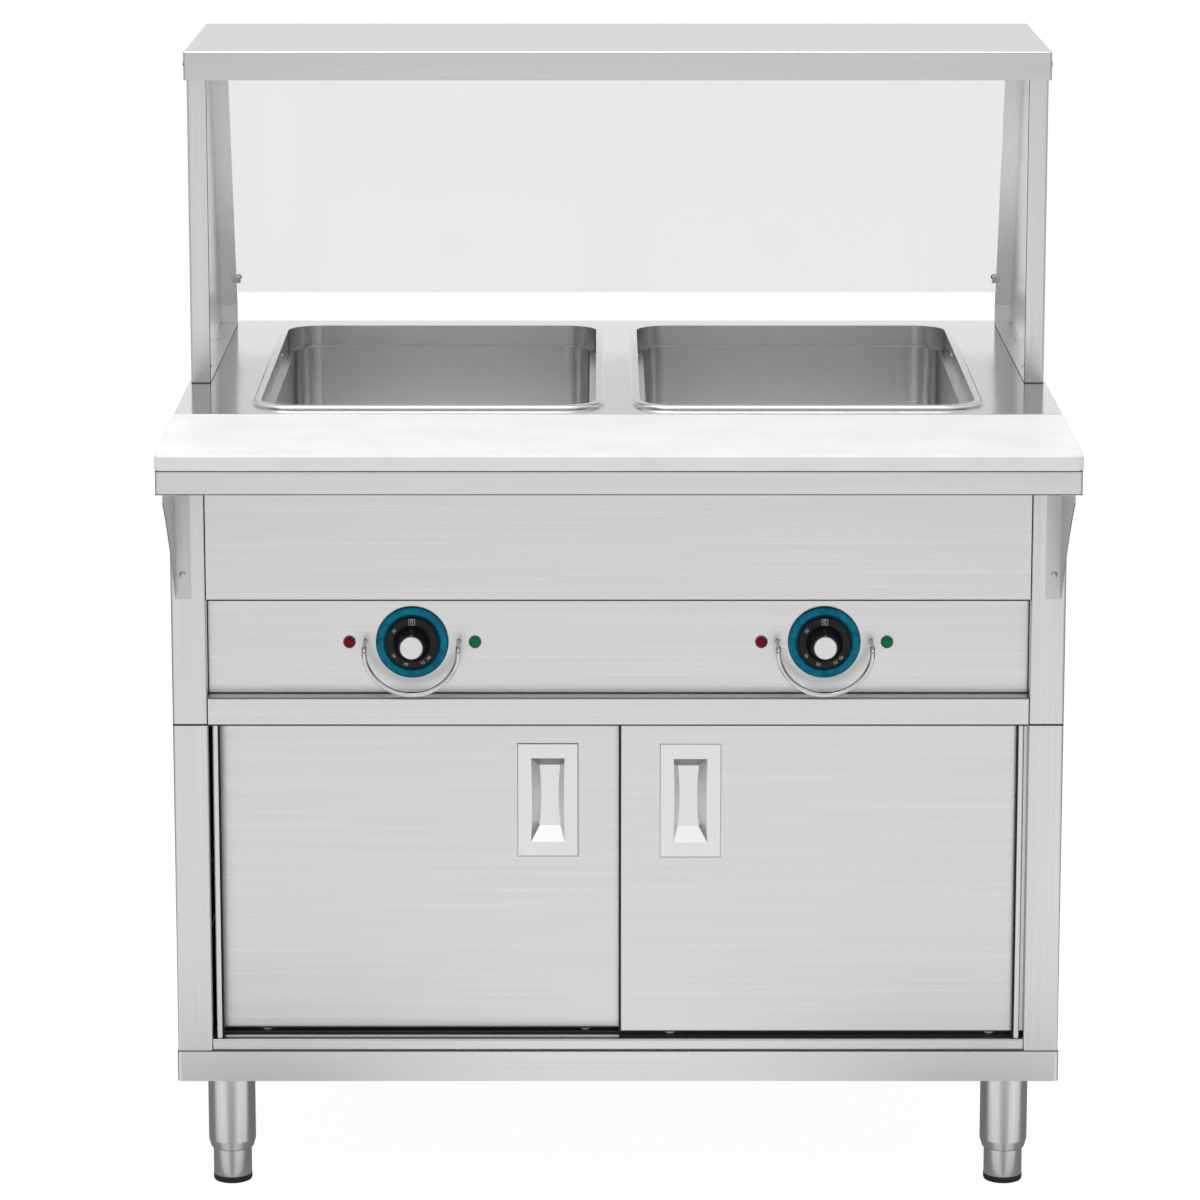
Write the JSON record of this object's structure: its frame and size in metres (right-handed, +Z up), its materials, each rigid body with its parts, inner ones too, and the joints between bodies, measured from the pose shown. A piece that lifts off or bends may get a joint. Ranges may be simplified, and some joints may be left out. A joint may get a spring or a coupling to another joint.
{
  "type": "electric steam table",
  "caption": "Steel hot-food table with rectangular wells, cutting board, glass-backed overshelf, thermostat knobs and a cabinet with sliding doors on adjustable feet.",
  "frame": {"origin": "on the floor, under the middle of the whole object's outline", "axes": "+X to the user's right, -Y towards the user at the cutting board, +Z up"},
  "size_m": [0.9, 0.874, 1.138],
  "materials": {
    "steel": "brushed stainless sheet",
    "steel_dark": "plain stainless, unpolished inside",
    "track_dark": "black-painted sheet",
    "galvanised": "galvanised sheet",
    "board": "white polyethylene",
    "glass": "clear toughened glass",
    "dial_plate": "glossy blue-green metal",
    "knob_black": "black phenolic",
    "knob_cap": "satin aluminium",
    "chrome": "polished wire",
    "lamp_rim": "pale plastic",
    "lens_red": "red lens",
    "lens_green": "green lens",
    "brass": "cast and turned brass",
    "lever": "red enamel",
    "heater": "incoloy sheath",
    "electric": "cream thermoset",
    "gland": "black nylon",
    "roller": "white acetal",
    "foot_black": "black plastic"
  },
  "bodies": {
    "frame": {"counter_top": "steel", "board_tray": "steel", "cutting_board": "board", "board_brackets": "steel", "well_left": "steel", "well_right": "steel", "heating_elements": "heater", "heat_trays": "galvanised", "upper_side_left": "steel", "upper_side_right": "steel", "upper_back_panel": "steel", "upper_front_panel": "steel", "control_panel": "steel", "door_head_rail": "steel", "deck": "galvanised", "dial_plates": "dial_plate", "knob_guards": "chrome", "lamp_bodies": "lamp_rim", "red_lenses": "lens_red", "green_lenses": "lens_green", "thermostats": "electric", "terminal_block": "electric", "cable_gland": "gland", "drain_valves": "brass", "door_top_track": "steel_dark", "cabinet_side_left": "steel", "cabinet_side_right": "steel", "cabinet_back": "steel", "cabinet_floor": "steel", "door_bottom_track": "track_dark", "door_jambs": "steel", "base_rails": "steel", "leg_tubes": "steel", "overshelf": "steel", "shelf_side_left": "steel", "shelf_side_right": "steel", "glass_panel": "glass", "glass_clips": "steel"},
    "door_left": {"door_left": "steel", "door_pull_left": "steel"},
    "roller_left_a": {"roller_left_a": "roller"},
    "roller_left_b": {"roller_left_b": "roller"},
    "door_right": {"door_right": "steel", "door_pull_right": "steel"},
    "roller_right_a": {"roller_right_a": "roller"},
    "roller_right_b": {"roller_right_b": "roller"},
    "knob_left": {"knob_dial_left": "knob_black", "knob_core_left": "knob_cap"},
    "knob_right": {"knob_dial_right": "knob_black", "knob_core_right": "knob_cap"},
    "foot_front_left": {"foot_stem_front_left": "steel", "foot_pad_front_left": "foot_black"},
    "foot_front_right": {"foot_stem_front_right": "steel", "foot_pad_front_right": "foot_black"},
    "foot_rear_left": {"foot_stem_rear_left": "steel", "foot_pad_rear_left": "foot_black"},
    "foot_rear_right": {"foot_stem_rear_right": "steel", "foot_pad_rear_right": "foot_black"},
    "drain_lever_left": {"drain_lever_left": "lever"},
    "drain_lever_right": {"drain_lever_right": "lever"}
  },
  "joints": [
    {"name": "door_left_slide", "type": "slide", "parent": "frame", "child": "door_left", "axis": [1, 0, 0], "range_m": [0, 0.39]},
    {"name": "roller_left_a_spin", "type": "hinge", "parent": "door_left", "child": "roller_left_a", "pos_m": [-0.358, -0.2719, 0.1735], "axis": [0, 1, 0], "range_deg": [0, 3600]},
    {"name": "roller_left_b_spin", "type": "hinge", "parent": "door_left", "child": "roller_left_b", "pos_m": [-0.033, -0.2719, 0.1735], "axis": [0, 1, 0], "range_deg": [0, 3600]},
    {"name": "door_right_slide", "type": "slide", "parent": "frame", "child": "door_right", "axis": [-1, 0, 0], "range_m": [0, 0.39]},
    {"name": "roller_right_a_spin", "type": "hinge", "parent": "door_right", "child": "roller_right_a", "pos_m": [0.053, -0.2855, 0.1735], "axis": [0, -1, 0], "range_deg": [0, 3600]},
    {"name": "roller_right_b_spin", "type": "hinge", "parent": "door_right", "child": "roller_right_b", "pos_m": [0.378, -0.2855, 0.1735], "axis": [0, -1, 0], "range_deg": [0, 3600]},
    {"name": "knob_left_turn", "type": "hinge", "parent": "frame", "child": "knob_left", "pos_m": [-0.2068, -0.284, 0.573], "axis": [0, 1, 0], "range_deg": [0, 240]},
    {"name": "knob_right_turn", "type": "hinge", "parent": "frame", "child": "knob_right", "pos_m": [0.2068, -0.284, 0.573], "axis": [0, 1, 0], "range_deg": [0, 240]},
    {"name": "foot_front_left_height", "type": "slide", "parent": "frame", "child": "foot_front_left", "axis": [0, 0, -1], "range_m": [0, 0.025]},
    {"name": "foot_front_right_height", "type": "slide", "parent": "frame", "child": "foot_front_right", "axis": [0, 0, -1], "range_m": [0, 0.025]},
    {"name": "foot_rear_left_height", "type": "slide", "parent": "frame", "child": "foot_rear_left", "axis": [0, 0, -1], "range_m": [0, 0.025]},
    {"name": "foot_rear_right_height", "type": "slide", "parent": "frame", "child": "foot_rear_right", "axis": [0, 0, -1], "range_m": [0, 0.025]},
    {"name": "drain_lever_left_turn", "type": "hinge", "parent": "frame", "child": "drain_lever_left", "pos_m": [-0.194, 0.1035, 0.449], "axis": [0, 1, 0], "range_deg": [0, 90]},
    {"name": "drain_lever_right_turn", "type": "hinge", "parent": "frame", "child": "drain_lever_right", "pos_m": [0.194, 0.1035, 0.449], "axis": [0, 1, 0], "range_deg": [0, 90]}
  ],
  "couplings": [
    {"joint": "roller_left_a_spin", "follows": "door_left_slide", "rad_per_m": 153.85},
    {"joint": "roller_left_b_spin", "follows": "door_left_slide", "rad_per_m": 153.85},
    {"joint": "roller_right_a_spin", "follows": "door_right_slide", "rad_per_m": 153.85},
    {"joint": "roller_right_b_spin", "follows": "door_right_slide", "rad_per_m": 153.85}
  ]
}
